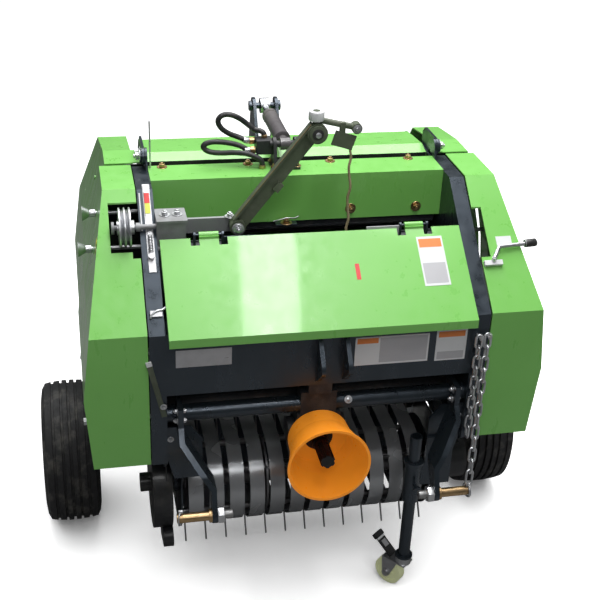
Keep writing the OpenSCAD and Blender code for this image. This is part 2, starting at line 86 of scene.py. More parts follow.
def camera_ray_mix(tree, seen, unseen):
    """Shows one shader to the camera, also through glass, and lights the machine with the other."""
    light = tree.nodes.new("ShaderNodeLightPath")
    camera_or_glass = tree.nodes.new("ShaderNodeMath")
    camera_or_glass.operation = "MAXIMUM"
    tree.links.new(light.outputs["Is Camera Ray"], camera_or_glass.inputs[0])
    tree.links.new(light.outputs["Is Transmission Ray"], camera_or_glass.inputs[1])
    mix = tree.nodes.new("ShaderNodeMixShader")
    tree.links.new(camera_or_glass.outputs[0], mix.inputs[0])
    tree.links.new(unseen.outputs[0], mix.inputs[1])
    tree.links.new(seen.outputs[0], mix.inputs[2])
    return mix


def set_world():
    """White behind the machine, with little light of its own."""
    world = bpy.data.worlds.new("studio")
    bpy.context.scene.world = world
    world.use_nodes = True
    tree = world.node_tree
    tree.nodes.clear()
    seen = tree.nodes.new("ShaderNodeBackground")
    seen.inputs["Color"].default_value = (1.0, 1.0, 1.0, 1.0)
    seen.inputs["Strength"].default_value = 1.0
    unseen = tree.nodes.new("ShaderNodeBackground")
    unseen.inputs["Color"].default_value = (0.95, 0.97, 1.0, 1.0)
    unseen.inputs["Strength"].default_value = SKY_LIGHT
    mix = camera_ray_mix(tree, seen, unseen)
    out = tree.nodes.new("ShaderNodeOutputWorld")
    tree.links.new(mix.outputs[0], out.inputs["Surface"])


def floor_glow(tree):
    """A glow that is white in the open and darkens near the machine, as a soft contact shadow."""
    near = tree.nodes.new("ShaderNodeAmbientOcclusion")
    near.samples = 12
    near.inputs["Distance"].default_value = SHADE_REACH
    lift = tree.nodes.new("ShaderNodeMapRange")
    lift.inputs["From Min"].default_value = SHADE_OPENNESS[0]
    lift.inputs["From Max"].default_value = SHADE_OPENNESS[1]
    lift.inputs["To Min"].default_value = SHADE_GLOW[0]
    lift.inputs["To Max"].default_value = SHADE_GLOW[1]
    tree.links.new(near.outputs["AO"], lift.inputs["Value"])
    glow = tree.nodes.new("ShaderNodeEmission")
    glow.inputs["Color"].default_value = (1.0, 1.0, 1.0, 1.0)
    tree.links.new(lift.outputs[0], glow.inputs["Strength"])
    return glow


def studio_paper():
    """White paper to the camera, and a grey floor to the light that it throws back."""
    paper = bpy.data.materials.new("studio_paper")
    paper.use_nodes = True
    tree = paper.node_tree
    shader = tree.nodes["Principled BSDF"]
    shader.inputs["Base Color"].default_value = (0.9, 0.9, 0.9, 1.0)
    shader.inputs["Roughness"].default_value = 0.55
    glow = floor_glow(tree)
    seen = tree.nodes.new("ShaderNodeAddShader")
    tree.links.new(shader.outputs[0], seen.inputs[0])
    tree.links.new(glow.outputs[0], seen.inputs[1])
    bounce = tree.nodes.new("ShaderNodeBsdfDiffuse")
    bounce.inputs["Color"].default_value = (PAPER_BOUNCE, PAPER_BOUNCE, PAPER_BOUNCE, 1.0)
    mix = camera_ray_mix(tree, seen, bounce)
    tree.links.new(mix.outputs[0], tree.nodes["Material Output"].inputs["Surface"])
    return paper


def soft_light(name, place, target, size, strength, other_size):
    """A lamp with one or two sizes, turned to its target."""
    data = bpy.data.lights.new(name, "AREA")
    data.energy = strength
    data.size = size
    if other_size:
        data.shape = "RECTANGLE"
        data.size_y = other_size
    lamp = bpy.data.objects.new(name, data)
    lamp.location = place
    lamp.rotation_euler = (Vector(target) - Vector(place)).to_track_quat("-Z", "Y").to_euler()
    bpy.context.collection.objects.link(lamp)


def set_stage():
    """The floor, just under the tyres, and the lamps."""
    bpy.ops.object.select_all(action="DESELECT")
    bpy.ops.mesh.primitive_plane_add(size=1.0, location=(0.0, 0.0, -0.0004))
    floor = bpy.context.object
    floor.name = "studio_floor"
    floor.scale = (30.0, 30.0, 1.0)
    bpy.ops.object.transform_apply(location=True, rotation=True, scale=True)
    floor.data.materials.append(studio_paper())
    for lamp in LAMPS:
        soft_light(*lamp)


# Finishes: each is a small node tree on Object coordinates

DUST_ON_PAINT = (0.42, 0.4, 0.34)
DUST_ON_PLASTIC = (0.4, 0.38, 0.33)
ORANGE_PEEL = 0.00012

# How a metal's grain is scaled along X, Y and Z: it runs long where the number is small
ALONG_SHAFT = (1.0, 1.0, 0.2)
ALONG_PLATED = (1.0, 1.0, 0.3)
ALONG_LABEL = (0.2, 1.0, 1.0)
ROUND_THREAD = (6.0, 1.0, 1.0)


class Finish:
    """A material with its main shader, and short ways to add and link nodes."""

    def __init__(self, name, rough, metal=0.0):
        self.material = bpy.data.materials.new(name)
        self.material.use_nodes = True
        self.tree = self.material.node_tree
        self.shader = self.tree.nodes["Principled BSDF"]
        self.shader.inputs["Metallic"].default_value = metal
        self.shader.inputs["Roughness"].default_value = rough
        self.place = self.tree.nodes.new("ShaderNodeTexCoord").outputs["Object"]

    def node(self, kind, **values):
        """A new node with its settings, or its inputs where no setting has that name."""
        made = self.tree.nodes.new(kind)
        for key, value in values.items():
            if hasattr(made, key):
                setattr(made, key, value)
            else:
                made.inputs[key].default_value = value
        return made

    def link(self, a, b):
        self.tree.links.new(a, b)

    def noise(self, scale, detail, roughness=0.55, stretch=None):
        made = self.node("ShaderNodeTexNoise", Scale=scale, Detail=detail, Roughness=roughness)
        if stretch:
            mapping = self.node("ShaderNodeMapping")
            mapping.inputs["Scale"].default_value = stretch
            self.link(self.place, mapping.inputs["Vector"])
            self.link(mapping.outputs[0], made.inputs["Vector"])
        else:
            self.link(self.place, made.inputs["Vector"])
        return made.outputs[0]

    def ramp(self, value, low, high, bottom=0.0, top=1.0):
        """Brings the span from low to high to the span from bottom to top."""
        made = self.node("ShaderNodeMapRange")
        made.inputs["From Min"].default_value = low
        made.inputs["From Max"].default_value = high
        made.inputs["To Min"].default_value = bottom
        made.inputs["To Max"].default_value = top
        self.link(value, made.inputs["Value"])
        return made.outputs[0]

    def times(self, socket, factor):
        made = self.node("ShaderNodeMath", operation="MULTIPLY")
        self.link(socket, made.inputs[0])
        made.inputs[1].default_value = factor
        return made.outputs[0]

    def mix(self, share, a, b):
        """Colour a where the share is 0 and colour b where it is 1."""
        made = self.node("ShaderNodeMix", data_type="RGBA")
        self.link(share, made.inputs["Factor"])
        for colour, socket in ((a, made.inputs[6]), (b, made.inputs[7])):
            if isinstance(colour, tuple):
                socket.default_value = colour + (1.0,)
            else:
                self.link(colour, socket)
        return made.outputs[2]

    def colour(self, socket):
        self.link(socket, self.shader.inputs["Base Color"])

    def rough(self, socket):
        self.link(socket, self.shader.inputs["Roughness"])

    def bump(self, socket, depth):
        made = self.node("ShaderNodeBump", Strength=1.0, Distance=depth)
        self.link(socket, made.inputs["Height"])
        self.link(made.outputs[0], self.shader.inputs["Normal"])


def painted(name, colour, deep, rough, coat=0.0, dust=0.12, tint=None):
    """Sprayed paint: slight cloudiness, orange peel, handling marks and a film of dust."""
    f = Finish(name, rough)
    cloud = f.ramp(f.noise(3.2, 4.0), 0.32, 0.7)
    base = f.mix(cloud, deep, colour)
    film = f.times(f.ramp(f.noise(11.0, 6.0, 0.65), 0.48, 0.78), dust)
    f.colour(f.mix(film, base, DUST_ON_PAINT))
    marks = f.noise(38.0, 5.0, 0.6, stretch=(1.0, 1.0, 0.25))
    f.rough(f.ramp(marks, 0.3, 0.75, max(rough - 0.08, 0.05), min(rough + 0.16, 1.0)))
    f.bump(f.noise(420.0, 2.0, 0.5), ORANGE_PEEL)
    f.shader.inputs["Coat Weight"].default_value = coat
    f.shader.inputs["Coat Roughness"].default_value = 0.06
    if tint:
        f.shader.inputs["Specular Tint"].default_value = tint + (1.0,)
        f.shader.inputs["Specular IOR Level"].default_value = 0.9
    return f.material


def bare_metal(name, colour, stain, rough, metal=1.0, grain=(1.0, 1.0, 1.0), depth=0.00005, amount=0.5):
    """Bare or plated metal with drawn grain, stains and fine scratches."""
    f = Finish(name, rough, metal)
    spots = f.times(f.ramp(f.noise(19.0, 6.0, 0.65), 0.45, 0.72), amount)
    fine = f.noise(90.0, 3.0, 0.5, stretch=grain)
    shade = tuple(c * 0.86 for c in colour)
    f.colour(f.mix(spots, f.mix(fine, shade, colour), stain))
    f.rough(f.ramp(fine, 0.25, 0.75, max(rough - 0.1, 0.05), min(rough + 0.18, 1.0)))
    f.bump(fine, depth)
    return f.material


def moulded(name, colour, deep, rough, grit=700.0, depth=0.00008, dust=0.1, painted_glow=0.0):
    """Moulded plastic or rubber: fine grit, a little dust, and where asked a painted glow that only the
    camera sees, standing in for light that comes through.
    """
    f = Finish(name, rough)
    cloud = f.ramp(f.noise(6.0, 3.0), 0.3, 0.7)
    film = f.times(f.ramp(f.noise(26.0, 5.0, 0.6), 0.5, 0.8), dust)
    f.colour(f.mix(film, f.mix(cloud, deep, colour), DUST_ON_PLASTIC))
    f.rough(f.ramp(f.noise(60.0, 4.0), 0.3, 0.7, max(rough - 0.08, 0.05), min(rough + 0.12, 1.0)))
    f.bump(f.noise(grit, 2.0, 0.6), depth)
    # Painted light: the part glows in its own colour to the camera, though it is no lamp
    if painted_glow:
        f.shader.inputs["Emission Color"].default_value = colour + (1.0,)
        light = f.node("ShaderNodeLightPath")
        f.link(f.times(light.outputs["Is Camera Ray"], painted_glow), f.shader.inputs["Emission Strength"])
    return f.material


def printed(name, colour, deep, rough=0.35, dust=0.05):
    """A smooth printed or coated film."""
    return moulded(name, colour, deep, rough, grit=900.0, depth=0.00002, dust=dust)


def rolled_sheet(name, colour, deep, rough, metal):
    """Smooth rolled sheet: soft clouds and a faint change of gloss."""
    f = Finish(name, rough, metal)
    f.colour(f.mix(f.ramp(f.noise(4.5, 2.0), 0.3, 0.7), deep, colour))
    f.rough(f.ramp(f.noise(9.0, 2.0), 0.3, 0.7, rough - 0.03, rough + 0.08))
    return f.material


# Paints

green_paint = painted("green_paint", (0.225, 0.6, 0.13), (0.2, 0.55, 0.11), 0.32, coat=0.45, dust=0.015)
frame_paint = painted("frame_paint", (0.013, 0.018, 0.022), (0.009, 0.013, 0.016), 0.3, coat=0.12,
                      dust=0.02, tint=(0.72, 0.84, 1.0))
black_paint = painted("black_paint", (0.018, 0.019, 0.022), (0.011, 0.012, 0.014), 0.35, coat=0.2)
arm_paint = painted("arm_paint", (0.11, 0.135, 0.085), (0.065, 0.08, 0.052), 0.4, coat=0.1, dust=0.25)
barrel_paint = painted("barrel_paint", (0.11, 0.1, 0.105), (0.07, 0.065, 0.068), 0.36, coat=0.3, dust=0.2)
roller_paint = painted("roller_paint", (0.05, 0.055, 0.065), (0.03, 0.034, 0.04), 0.42, dust=0.2)
rim_paint = painted("rim_paint", (0.52, 0.53, 0.54), (0.45, 0.46, 0.47), 0.38, dust=0.2)

# Metals

band_steel = rolled_sheet("band_steel", (0.42, 0.435, 0.45), (0.35, 0.36, 0.37), 0.22, 0.55)
shaft_steel = bare_metal("shaft_steel", (0.012, 0.012, 0.013), (0.006, 0.006, 0.006), 0.4,
                         metal=0.1, grain=ALONG_SHAFT)
tine_steel = bare_metal("tine_steel", (0.3, 0.3, 0.31), (0.1, 0.095, 0.09), 0.38,
                        metal=0.9, grain=ALONG_SHAFT)
cast_grey = bare_metal("cast_grey", (0.36, 0.37, 0.38), (0.16, 0.15, 0.14), 0.55, metal=0.55, depth=0.0002)
zinc = bare_metal("zinc", (0.72, 0.73, 0.75), (0.42, 0.42, 0.42), 0.36, grain=ALONG_PLATED)
thread_steel = bare_metal("thread_steel", (0.4, 0.4, 0.4), (0.2, 0.19, 0.17), 0.45, metal=0.9,
                          grain=ROUND_THREAD)
gold_zinc = bare_metal("gold_zinc", (0.62, 0.43, 0.23), (0.36, 0.22, 0.1), 0.34, grain=ALONG_PLATED)
chrome_rod = bare_metal("chrome_rod", (0.6, 0.61, 0.63), (0.4, 0.4, 0.4), 0.24, depth=0.00001, amount=0.2)
worn_edge = bare_metal("worn_edge", (0.34, 0.24, 0.13), (0.16, 0.09, 0.04), 0.5, metal=0.5)
label_silver = bare_metal("label_silver", (0.62, 0.62, 0.64), (0.4, 0.4, 0.4), 0.35, metal=0.7,
                          grain=ALONG_LABEL)

# Plastic, rubber, rough casting and fibre

cast_black = moulded("cast_black", (0.03, 0.032, 0.036), (0.02, 0.021, 0.024), 0.5,
                     grit=260.0, depth=0.0004, dust=0.16)
# The cone's glow is painted light that brightens its self-shadowed inside
cone_plastic = moulded("cone_plastic", (1.0, 0.33, 0.022), (0.98, 0.3, 0.018), 0.34,
                       grit=500.0, depth=0.00012, dust=0.04, painted_glow=0.25)
black_plastic = moulded("black_plastic", (0.025, 0.025, 0.026), (0.016, 0.016, 0.017), 0.4)
# The caster's glow is painted light that lifts it out of the shade it stands in
caster_plastic = moulded("caster_plastic", (0.8, 0.84, 0.5), (0.72, 0.77, 0.44), 0.36,
                         dust=0.12, painted_glow=0.16)
tyre_rubber = moulded("tyre_rubber", (0.03, 0.03, 0.032), (0.02, 0.02, 0.021), 0.62,
                      grit=380.0, depth=0.0003, dust=0.35)
hose_rubber = moulded("hose_rubber", (0.022, 0.022, 0.024), (0.014, 0.014, 0.015), 0.42,
                      grit=900.0, depth=0.0001)
twine_fibre = moulded("twine_fibre", (0.5, 0.4, 0.23), (0.3, 0.23, 0.13), 0.85,
                      grit=1500.0, depth=0.0006, dust=0.2)

# Blank labels and colour marks

label_white = printed("label_white", (0.78, 0.79, 0.8), (0.7, 0.71, 0.72), dust=0.1)
label_orange = printed("label_orange", (0.8, 0.25, 0.06), (0.74, 0.22, 0.05))
label_grey = printed("label_grey", (0.5, 0.5, 0.52), (0.42, 0.42, 0.44), rough=0.4)
signal_red = moulded("signal_red", (0.75, 0.03, 0.03), (0.66, 0.02, 0.02), 0.35)
signal_yellow = moulded("signal_yellow", (0.7, 0.72, 0.08), (0.62, 0.66, 0.06), 0.35)

NODE_FINISH = {
    "side_frames": frame_paint, "front_panel": frame_paint, "twine_box": frame_paint,
    "hood_lid": green_paint, "cross_beam": green_paint, "side_covers": green_paint,
    "cover_bolts": zinc, "cross_tube": frame_paint, "gearbox": cast_black, "pto_shaft": shaft_steel,
    "pto_cone": cone_plastic, "link_brackets": frame_paint, "link_pins": gold_zinc, "check_chain": zinc,
    "jack_socket": frame_paint, "jack_leg": frame_paint, "caster_fork": zinc, "caster_wheel": caster_plastic,
    "caster_brake": black_plastic, "pickup_frame": frame_paint, "stripper_bands": band_steel,
    "pickup_reel": tine_steel, "drive_guards": black_paint, "chamber_rollers": roller_paint,
    "axle_arms": frame_paint, "tyre_left": tyre_rubber, "rim_left": rim_paint, "tyre_right": tyre_rubber,
    "rim_right": rim_paint, "tailgate_frame": frame_paint, "tailgate_skin": green_paint,
    "tailgate_covers": green_paint, "tailgate_rollers": roller_paint, "cylinder_bracket": cast_black,
    "cylinder_barrel": barrel_paint, "cylinder_rod": chrome_rod, "hydraulic_hoses": hose_rubber,
    "twine_motor": cast_grey, "twine_arm": arm_paint, "twine": twine_fibre, "twine_sheave": zinc,
    "bale_gauge": label_silver, "crank_handle": zinc,
}

for name, finish in NODE_FINISH.items():
    nodes[name].data.materials.clear()
    nodes[name].data.materials.append(finish)


# Making pieces: places and radii are in millimetres, the width of an eased edge is in metres

def only(piece):
    """Selects this piece alone."""
    bpy.ops.object.select_all(action="DESELECT")
    piece.select_set(True)
    bpy.context.view_layer.objects.active = piece


def finished(piece, name, finish, body, smooth=None):
    """Puts the place into the mesh, gives the finish and hangs the piece on its body."""
    only(piece)
    bpy.ops.object.transform_apply(location=True, rotation=True, scale=True)
    piece.name = name
    piece.data.name = name
    piece.data.materials.clear()
    piece.data.materials.append(finish)
    if smooth:
        bpy.ops.object.shade_smooth_by_angle(angle=math.radians(smooth))
    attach(piece, body)
    return piece


def bevelled(piece, width, segments=2, angle=30.0):
    """Eases the edges that are sharper than an angle."""
    made = piece.modifiers.new("edge", "BEVEL")
    made.width = width
    made.segments = segments
    made.limit_method = "ANGLE"
    made.angle_limit = math.radians(angle)
    only(piece)
    bpy.ops.object.modifier_apply(modifier="edge")


def turned(degrees, axis):
    return Matrix.Rotation(math.radians(degrees), 4, axis)


def block(name, low, high, finish, body, edge=0.0008, turn=None, about=None):
    """A block between two corners, with its edges eased, turned about a point if asked."""
    bpy.ops.object.select_all(action="DESELECT")
    a, b = at(*low), at(*high)
    bpy.ops.mesh.primitive_cube_add(size=1.0, location=(a + b) / 2)
    piece = bpy.context.object
    piece.scale = b - a
    only(piece)
    bpy.ops.object.transform_apply(location=True, rotation=True, scale=True)
    bevelled(piece, edge)
    if turn:
        spot = at(*about)
        axis, degrees = turn
        piece.data.transform(Matrix.Translation(spot) @ turned(degrees, axis) @ Matrix.Translation(-spot))
    return finished(piece, name, finish, body)


def drum(name, start, end, radius, finish, body, sides=32, edge=0.0008):
    """A round bar between two places, or a hexagonal one with six sides."""
    bpy.ops.object.select_all(action="DESELECT")
    a, b = at(*start), at(*end)
    run = b - a
    bpy.ops.mesh.primitive_cylinder_add(vertices=sides, radius=radius / 1000.0, depth=run.length,
                                        location=(a + b) / 2,
                                        rotation=run.to_track_quat("Z", "Y").to_euler())
    piece = bpy.context.object
    only(piece)
    bpy.ops.object.transform_apply(location=True, rotation=True, scale=True)
    bevelled(piece, edge, 2, 50.0 if sides > 12 else 40.0)
    return finished(piece, name, finish, body, 35)


def joined(pieces, name):
    """Several pieces as one mesh."""
    bpy.ops.object.select_all(action="DESELECT")
    for piece in pieces:
        piece.select_set(True)
    bpy.context.view_layer.objects.active = pieces[0]
    bpy.ops.object.join()
    whole = bpy.context.object
    whole.name = name
    whole.data.name = name
    return whole


def bolt_head(across, head, washer):
    """One hexagon bolt head with its washer and thread end, standing on the XY plane, in metres."""
    bpy.ops.object.select_all(action="DESELECT")
    bpy.ops.mesh.primitive_cylinder_add(vertices=28, radius=across * 0.95, depth=washer,
                                        location=(0, 0, washer / 2))
    ring = bpy.context.object
    bevelled(ring, washer * 0.3, 1, 50.0)
    bpy.ops.mesh.primitive_cylinder_add(vertices=6, radius=across / math.sqrt(3.0), depth=head,
                                        location=(0, 0, washer + head / 2))
    hexagon = bpy.context.object
    bevelled(hexagon, head * 0.14, 2, 40.0)
    bpy.ops.mesh.primitive_cylinder_add(vertices=18, radius=across * 0.3, depth=head * 0.5,
                                        location=(0, 0, washer + head * 1.2))
    tip = bpy.context.object
    bevelled(tip, head * 0.12, 2, 50.0)
    return joined([ring, hexagon, tip], "bolt_template")


def bolts(name, rows, across, finish, body):
    """Bolts at rows of place and direction, all from one modelled head, joined to one piece."""
    size = across / 1000.0
    template = bolt_head(size, size * 0.55, size * 0.14)
    made = []
    for spot, direction in rows:
        one = template.copy()
        one.data = template.data.copy()
        bpy.context.collection.objects.link(one)
        turn = Vector(direction).to_track_quat("Z", "Y").to_matrix().to_4x4()
        one.data.transform(Matrix.Translation(at(*spot)) @ turn)
        made.append(one)
    bpy.data.objects.remove(template, do_unlink=True)
    return finished(joined(made, name), name, finish, body, 30)


def smooth_line(spots, steps):
    """Points on a soft curve through the given ones."""
    fine = []
    for i in range(len(spots) - 1):
        a = spots[max(i - 1, 0)]
        b, c = spots[i], spots[i + 1]
        d = spots[min(i + 2, len(spots) - 1)]
        for k in range(steps):
            t = k / steps
            fine.append(0.5 * (2 * b + (c - a) * t + (2 * a - 5 * b + 4 * c - d) * t * t
                               + (3 * b - a - 3 * c + d) * t ** 3))
    fine.append(spots[-1])
    return fine


def wire(name, spots, radius, finish):
    """A round curve through places, smoothed between them, and its length in metres."""
    fine = smooth_line([at(*spot) for spot in spots], 6)
    bpy.ops.object.select_all(action="DESELECT")
    bpy.ops.curve.primitive_nurbs_path_add(location=(0.0, 0.0, 0.0))
    line = bpy.context.object
    spline = line.data.splines[0]
    spline.type = "POLY"
    spline.points.add(len(fine) - len(spline.points))
    for point, spot in zip(spline.points, fine):
        point.co = (spot[0], spot[1], spot[2], 1.0)
    line.data.bevel_depth = radius / 1000.0
    line.data.bevel_resolution = 4
    line.data.use_fill_caps = True
    line.data.materials.append(finish)
    line.name = name
    return line, sum((b - a).length for a, b in zip(fine, fine[1:]))


def rod_wire(name, spots, radius, finish, body):
    """A bent wire or held hose as a mesh piece on its body."""
    line, _ = wire(name, spots, radius, finish)
    only(line)
    bpy.ops.object.convert(target="MESH")
    return finished(bpy.context.object, name, finish, body, 40)


set_camera()

# The twine that hangs from the arm's guide

TWINE = [(84, 198.5, 1140.5), (87.5, 200, 1122), (84, 199, 1100), (87, 201.5, 1076), (90.5, 200, 1050),
         (86.5, 202, 1024), (88.5, 203.5, 998), (91.5, 202, 970), (88, 204, 946), (90, 203, 925)]
hanging, reach = wire("hanging_twine", TWINE, 3.0, twine_fibre)
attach(hanging, "arm")
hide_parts("twine")

# The two hoses that are held at both ends

HOSE_RADIUS = 6.5
HOSE_LOOP = [(-96.3, 412, 1092), (-113, 412, 1092), (-135, 418, 1100), (-158, 420, 1109), (-176, 421, 1122),
             (-184, 422, 1137), (-180, 423, 1149), (-167, 424, 1155), (-150, 424, 1153), (-130, 424, 1143),
             (-112, 423, 1129), (-96, 421, 1117), (-84, 416, 1115), (-77, 412, 1112), (-74, 410, 1106),
             (-74, 410, 1100.3)]
HOSE_TURN = [(-96.3, 394, 1075), (-113, 394, 1075), (-140, 400, 1087), (-170, 403, 1093), (-195, 404, 1095),
             (-213, 404, 1092), (-222, 403, 1085), (-216, 401, 1076), (-202, 398, 1071), (-178, 394, 1070),
             (-150, 388, 1072), (-120, 380, 1071), (-98, 374, 1064), (-87, 371, 1056), (-84, 370, 1046),
             (-84, 370, 1037.3)]
for name, route in (("hose_loop", HOSE_LOOP), ("hose_turn", HOSE_TURN)):
    hose = rod_wire(name, route, HOSE_RADIUS, hose_rubber, "frame")
    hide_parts("hydraulic_hoses")

set_world()
set_stage()


# Blank plates where the front panel's labels were, standing off the panel's face by a hair

PLATE_LIFT = 0.05
FIELD_LIFT = 0.55


def on_front(name, x0, x1, z0, z1, finish, lift, thick, edge=0.0002):
    """A plate on the front panel's face."""
    return block(name, (x0, -lift - thick, z0), (x1, -lift, z1), finish, "frame", edge)


on_front("plate_left", -334, -210, 722, 766, label_silver, PLATE_LIFT, 0.8)
on_front("plate_mid", 72, 247, 693, 767, label_white, PLATE_LIFT, 0.5)
on_front("plate_mid_header", 76, 126, 750, 764, label_orange, FIELD_LIFT, 0.15, 0.00005)
on_front("plate_mid_field", 130, 243, 698, 763, label_grey, FIELD_LIFT, 0.1, 0.00003)
on_front("plate_right", 264, 338, 691, 771, label_white, PLATE_LIFT, 0.5)
on_front("plate_right_header", 269, 333, 753, 768, label_orange, FIELD_LIFT, 0.15, 0.00005)
on_front("plate_right_field", 269, 333, 695, 715, label_grey, FIELD_LIFT, 0.1, 0.00003)

# Blank plates and the red mark on the lid's slope, between its fold and its upper edge

FOLD_Y, FOLD_Z = -29, 808.5
UPPER_EDGE_Y, UPPER_EDGE_Z = 163, 958
LID_TURN = math.degrees(math.atan2(UPPER_EDGE_Z - FOLD_Z, UPPER_EDGE_Y - FOLD_Y))


def on_lid(name, x0, x1, s0, s1, finish, lift, thick):
    """A plate on the lid's slope: s counts up the slope from the fold."""
    return block(name, (x0, FOLD_Y + s0, FOLD_Z + lift), (x1, FOLD_Y + s1, FOLD_Z + lift + thick), finish,
                 "lid", 0.0001, ("X", LID_TURN), (0, FOLD_Y, FOLD_Z))


on_lid("lid_plate", 240, 302, 92, 218, label_white, PLATE_LIFT, 0.5)
on_lid("lid_plate_header", 244, 298, 190, 212, label_orange, FIELD_LIFT, 0.15)
on_lid("lid_plate_field", 244, 298, 98, 150, label_grey, FIELD_LIFT, 0.1)
on_lid("lid_mark", 84, 94, 118, 158, signal_red, PLATE_LIFT, 0.3)

# Bolts and nuts of the beam, the panel, the tube and the brackets

UP = (0, 0, 1)
TO_FRONT = (0, -1, 0)
TUBE_NORMAL = (0, -1, 0.6)


def both_sides(x, spots, outward=1):
    """Bolt rows at x on the right and on the left, at places (y, z), with their heads outward or inward."""
    return [((side * x, y, z), (side * outward, 0, 0)) for side, _ in SIDES for y, z in spots]


BRACKET_SPOTS = ((2, 606), (2, 580))
STRAP_SPOTS = ((485, 1045), (485, 985))
AXLE_SPOTS = ((325, 440), (325, 505), (393, 440), (393, 505))
PIVOT_SPOT = ((415, 1061),)

bolts("beam_bolts", [((x, 400, 1037), UP) for x in (-321, -114, 90, 289)], 13, gold_zinc, "frame")
bolts("inner_bolts", [((127, 316.8, 944), TO_FRONT), ((293, 316.8, 942), TO_FRONT)], 14, gold_zinc, "frame")
bolts("tube_bolts", [((69, 14.8, 592.2), TUBE_NORMAL)], 10, zinc, "frame")
bolts("bracket_bolts", both_sides(332, BRACKET_SPOTS) + both_sides(320, BRACKET_SPOTS, -1), 11, zinc, "frame")
bolts("frame_bolts", [((-347, 12, 523), TO_FRONT), ((347, 12, 523), TO_FRONT),
                      ((-363, -4.2, 624), TO_FRONT), ((366, 0, 637), TO_FRONT)], 8, zinc, "frame")

# Flat bar from the left cover's edge to the frame, with its bare end, leaning out to the cover

BRACE_LEAN = ("Y", -12.9)
BRACE_MIDDLE = (-377.5, 0, 670)
for name, low, high, finish in (("brace_bar", (-383.5, -4.1, 596), (-371.5, -0.2, 744), arm_paint),
                                ("brace_end", (-383.9, -4.6, 733), (-371.1, -0.2, 744.5), label_white)):
    block(name, low, high, finish, "frame", 0.0006, BRACE_LEAN, BRACE_MIDDLE)

# Nuts of the twine motor and its lever, the cylinder's foot, the tailgate and the axle arms

bolts("motor_nuts", [((-334, 208, 998), UP), ((-306, 208, 998), UP), ((-170, 181.8, 965), TO_FRONT)], 13,
      zinc, "frame")
bolts("lever_nut", [((-184, 223, 980), UP)], 13, zinc, "frame")
bolts("foot_bolts", [((x, y, 1043), UP) for x in (-56, 0) for y in (362, 400)], 10, gold_zinc, "frame")
bolts("strap_bolts", both_sides(367.2, STRAP_SPOTS), 15, zinc, "tailgate")
bolts("pivot_nuts", both_sides(372.4, PIVOT_SPOT), 17, zinc, "frame")
bolts("axle_bolts", both_sides(378.2, AXLE_SPOTS), 14, zinc, "frame")

# Five bolts in each wheel's hub

HUB_X, HUB_Y, HUB_Z = 635.6, 475, 191
HUB_CIRCLE = 22
HUB_ANGLES = (0.4, 1.66, 2.91, 4.17, 5.43)
for side, word in SIDES:
    wheel = "wheel_" + word
    hub = [((side * HUB_X, HUB_Y + HUB_CIRCLE * math.cos(angle), HUB_Z + HUB_CIRCLE * math.sin(angle)),
            (side, 0, 0)) for angle in HUB_ANGLES]
    bolts("hub_bolts_" + wheel, hub, 9, zinc, wheel)

# Hose ends: a nut and a sleeve where each hose starts, and a nut where it ends

HOSE_STARTS = (((-97, 412, 1092), 3), ((-97, 394, 1075), 0))
for k, ((x, y, z), rise) in enumerate(HOSE_STARTS):
    drum("hose_nut_%d" % k, (x - 1, y, z), (x - 13, y, z), 9.2, gold_zinc, "frame", 6)
    drum("hose_sleeve_%d" % k, (x - 13, y, z), (x - 27, y, z + rise), 7.6, zinc, "frame", 24)
drum("hose_end_a", (-74, 410, 1101), (-74, 410, 1108), 7.8, gold_zinc, "frame", 6)
drum("hose_end_b", (-84, 370, 1037.5), (-84, 370, 1046), 8.6, gold_zinc, "frame", 6)

# Plate under the beam, with its pin and wire

PIN_WIRE = [(-66, 304, 926), (-52, 300, 931), (-34, 298, 936), (-16, 300, 934), (-4, 306, 936)]
block("pin_plate", (-60, 296, 916), (-8, 316.6, 920), frame_paint, "frame")
bolts("pin_nut", [((-34, 304, 920), UP)], 15, gold_zinc, "frame")
rod_wire("pin_wire", PIN_WIRE, 1.6, zinc, "frame")

# Hinge plates behind the lid's upper edge

block("hinge_plate", (127, 166.5, 925), (205.4, 169.5, 963), label_grey, "frame")
block("hinge_tab_left", (-205.4, 166.5, 925), (-127, 169.5, 957), frame_paint, "frame")

# The frames' slope, which the gauge and the crank's bracket follow

SLOPE = 40.2
SLOPE_FOOT = 805


def on_slope(name, x0, x1, s0, s1, n0, n1, finish, edge=0.0004):
    """A piece along the slope: s counts up the slope, n stands off it."""
    return block(name, (x0, s0, SLOPE_FOOT + n0), (x1, s1, SLOPE_FOOT + n1), finish, "frame", edge,
                 ("X", SLOPE), (0, 0, SLOPE_FOOT))


def slope_place(x, s, n):
    """A place in the same measures."""
    rise = math.radians(SLOPE)
    return (x, s * math.cos(rise) - n * math.sin(rise), SLOPE_FOOT + s * math.sin(rise) + n * math.cos(rise))


# Gauge: colour fields, silver scale and rail

GAUGE_X = (-376, -364)
on_slope("gauge_red", *GAUGE_X, 318, 344, 6.05, 6.9, signal_red)
on_slope("gauge_yellow", *GAUGE_X, 292, 318, 6.05, 6.7, signal_yellow)
on_slope("gauge_silver", -375, -365, 240, 292, 5.05, 5.6, zinc)
on_slope("gauge_rail", -387.5, -384.5, 252, 346, -3.0, 3.2, label_white)

# Gauge spring: a coil that runs up the slope, and the hook below it

SPRING_X, SPRING_START, SPRING_LIFT = -370, 198, 7
SPRING_LENGTH, SPRING_RADIUS = 40, 4.6
SPRING_STEPS, STEPS_IN_TURN = 72, 12
coil = []
for k in range(SPRING_STEPS + 1):
    angle = 2 * math.pi * k / STEPS_IN_TURN
    coil.append(slope_place(SPRING_X + SPRING_RADIUS * math.cos(angle),
                            SPRING_START + SPRING_LENGTH * k / SPRING_STEPS,
                            SPRING_LIFT + SPRING_RADIUS * math.sin(angle)))
rod_wire("gauge_spring", coil, 1.0, zinc, "frame")

